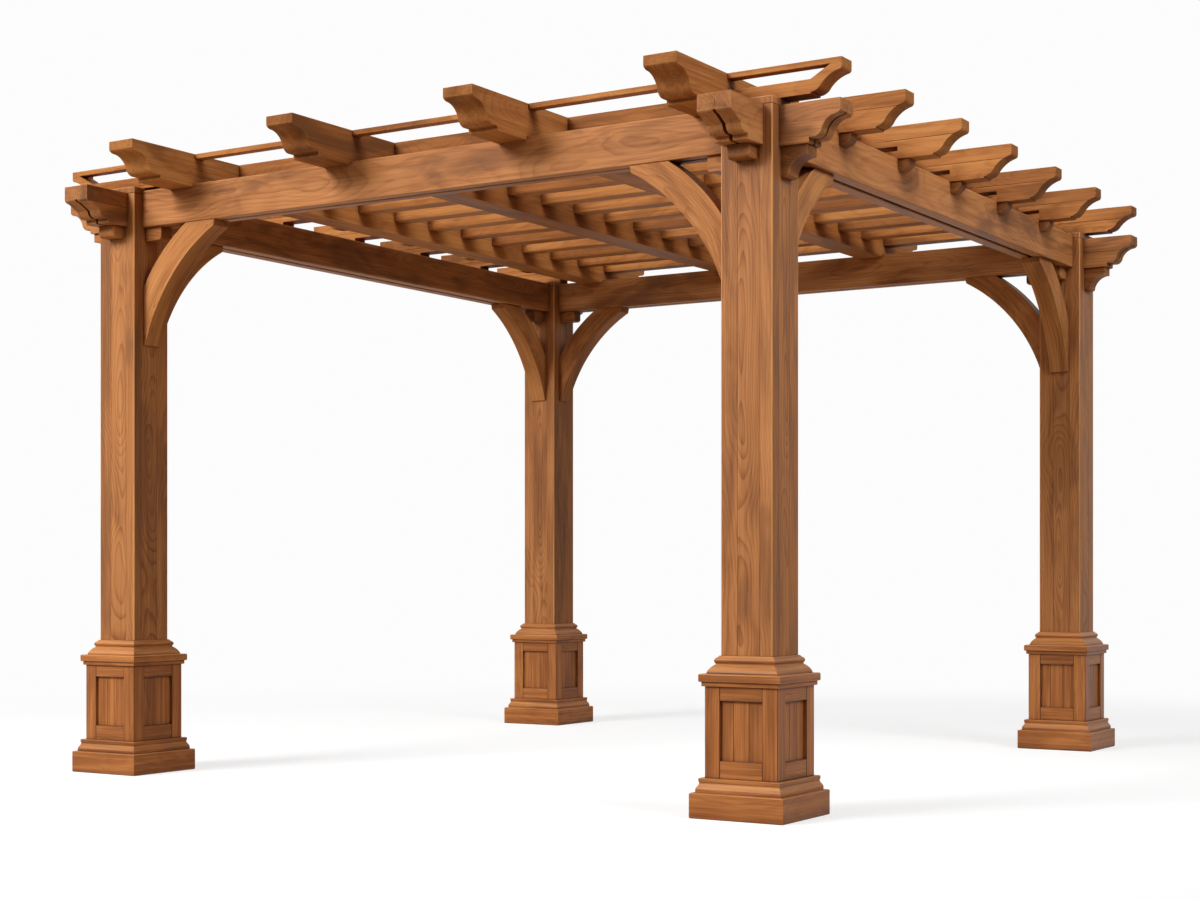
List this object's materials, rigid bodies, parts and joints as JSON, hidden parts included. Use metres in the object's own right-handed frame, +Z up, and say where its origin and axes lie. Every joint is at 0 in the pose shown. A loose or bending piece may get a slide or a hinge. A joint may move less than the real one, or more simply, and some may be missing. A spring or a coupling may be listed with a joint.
{
  "type": "timber garden pergola with pedestal posts",
  "caption": "Open timber pergola: square posts on panelled pedestals carry planked beams, curved knee braces and a lattice roof of rafters and purlins with ogee tails.",
  "frame": {"origin": "on the ground, midway between the four posts", "axes": "+X to the right along the front beam, +Y from the front to the back, +Z up"},
  "size_m": [3.66, 3.992, 2.579],
  "materials": {
    "post_timber": "satin brown stain over open grain",
    "pedestal_timber": "satin brown stain over open grain",
    "beam_timber": "satin brown stain over open grain",
    "roof_timber": "satin brown stain over open grain",
    "bracket_timber": "satin brown stain over open grain"
  },
  "bodies": {
    "root": {"plinth_front_left": "pedestal_timber", "panel_box_front_left": "pedestal_timber", "cap_moulding_front_left": "pedestal_timber", "post_front_left": "post_timber", "beam_tails_front_left": "beam_timber", "corbels_front_left": "bracket_timber", "knee_braces_front_left": "bracket_timber", "plinth_front_right": "pedestal_timber", "panel_box_front_right": "pedestal_timber", "cap_moulding_front_right": "pedestal_timber", "post_front_right": "post_timber", "beam_tails_front_right": "beam_timber", "corbels_front_right": "bracket_timber", "knee_braces_front_right": "bracket_timber", "plinth_back_left": "pedestal_timber", "panel_box_back_left": "pedestal_timber", "cap_moulding_back_left": "pedestal_timber", "post_back_left": "post_timber", "beam_tails_back_left": "beam_timber", "corbels_back_left": "bracket_timber", "knee_braces_back_left": "bracket_timber", "plinth_back_right": "pedestal_timber", "panel_box_back_right": "pedestal_timber", "cap_moulding_back_right": "pedestal_timber", "post_back_right": "post_timber", "beam_tails_back_right": "beam_timber", "corbels_back_right": "bracket_timber", "knee_braces_back_right": "bracket_timber", "front_beam": "beam_timber", "back_beam": "beam_timber", "left_beam": "beam_timber", "right_beam": "beam_timber", "rafter_1": "roof_timber", "rafter_2": "roof_timber", "rafter_3": "roof_timber", "rafter_4": "roof_timber", "purlin_1": "roof_timber", "purlin_2": "roof_timber", "purlin_3": "roof_timber", "purlin_4": "roof_timber", "purlin_5": "roof_timber", "purlin_6": "roof_timber", "purlin_7": "roof_timber", "purlin_blocks_left": "bracket_timber", "purlin_blocks_right": "bracket_timber"}
  },
  "joints": []
}
